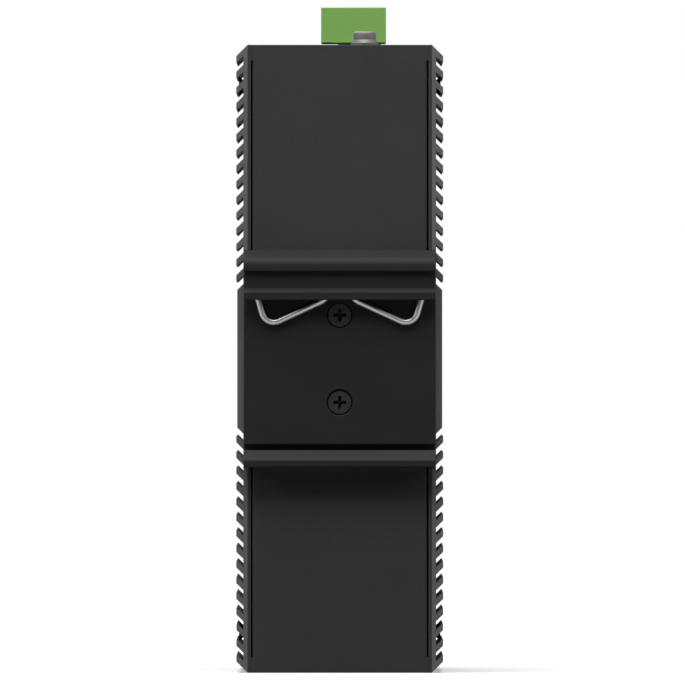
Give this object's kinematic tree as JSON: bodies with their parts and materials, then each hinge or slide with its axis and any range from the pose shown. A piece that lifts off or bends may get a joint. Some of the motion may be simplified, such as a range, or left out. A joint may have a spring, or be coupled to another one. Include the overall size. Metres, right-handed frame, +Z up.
{
  "type": "din rail ethernet switch",
  "caption": "Tall narrow network switch in a black metal case with finned side heat sinks, front jack stack, top power terminal and rear bracket for a 35 mm rail.",
  "frame": {"origin": "centre of the case across the width and of the overall depth, at the flat bottom", "axes": "+X to the right when facing the ports, +Y from the ports to the rail bracket, +Z up towards the power terminal"},
  "size_m": [0.0462, 0.1062, 0.1487],
  "materials": {
    "case_black": "fine-textured matt black powder coat on sheet steel",
    "sink_black": "matt black anodised extrusion",
    "bracket_black": "satin black anodised extrusion",
    "black_screws": "black oxide",
    "spring_steel": "bright drawn spring wire",
    "zinc_steel": "bright zinc plate",
    "terminal_green": "satin moulded polyamide",
    "shield_tin": "bright tin plate",
    "jack_black": "moulded polyester",
    "contact_gold": "gold plate",
    "light_pipe": "clear acrylic",
    "board_green": "solder mask on glass fibre",
    "chip_black": "moulded epoxy",
    "pad_grey": "soft silicone",
    "bare_aluminium": "milled",
    "ferrite": "pressed powder",
    "guide_white": "natural moulded nylon"
  },
  "bodies": {
    "root": {"alarm_relay": "guide_white", "board_guides": "guide_white", "board_link": "jack_black", "bracket_screws": "black_screws", "front_chassis": "case_black", "ground_flat_washer": "zinc_steel", "ground_lock_washer": "zinc_steel", "ground_screw": "zinc_steel", "header_pins": "zinc_steel", "heat_sink_left": "sink_black", "heat_sink_right": "sink_black", "heat_spreader": "bare_aluminium", "line_transformers": "chip_black", "main_board": "board_green", "plug_clamps": "zinc_steel", "port_contacts_1": "contact_gold", "port_contacts_2": "contact_gold", "port_contacts_3": "contact_gold", "port_contacts_4": "contact_gold", "port_housing_1": "jack_black", "port_housing_2": "jack_black", "port_housing_3": "jack_black", "port_housing_4": "jack_black", "port_lamps_1": "light_pipe", "port_lamps_2": "light_pipe", "port_lamps_3": "light_pipe", "port_lamps_4": "light_pipe", "port_shield_1": "shield_tin", "port_shield_2": "shield_tin", "port_shield_3": "shield_tin", "port_shield_4": "shield_tin", "power_board": "board_green", "power_capacitors": "chip_black", "power_coil": "ferrite", "power_guides": "guide_white", "rail_bracket": "bracket_black", "rail_spring_wire": "spring_steel", "rear_wrap": "case_black", "side_screws_left": "black_screws", "side_screws_right": "black_screws", "status_leds": "guide_white", "status_light_pipes": "light_pipe", "switch_chip": "chip_black", "terminal_header": "terminal_green", "terminal_plug": "terminal_green", "thermal_pad": "pad_grey"}
  },
  "joints": []
}
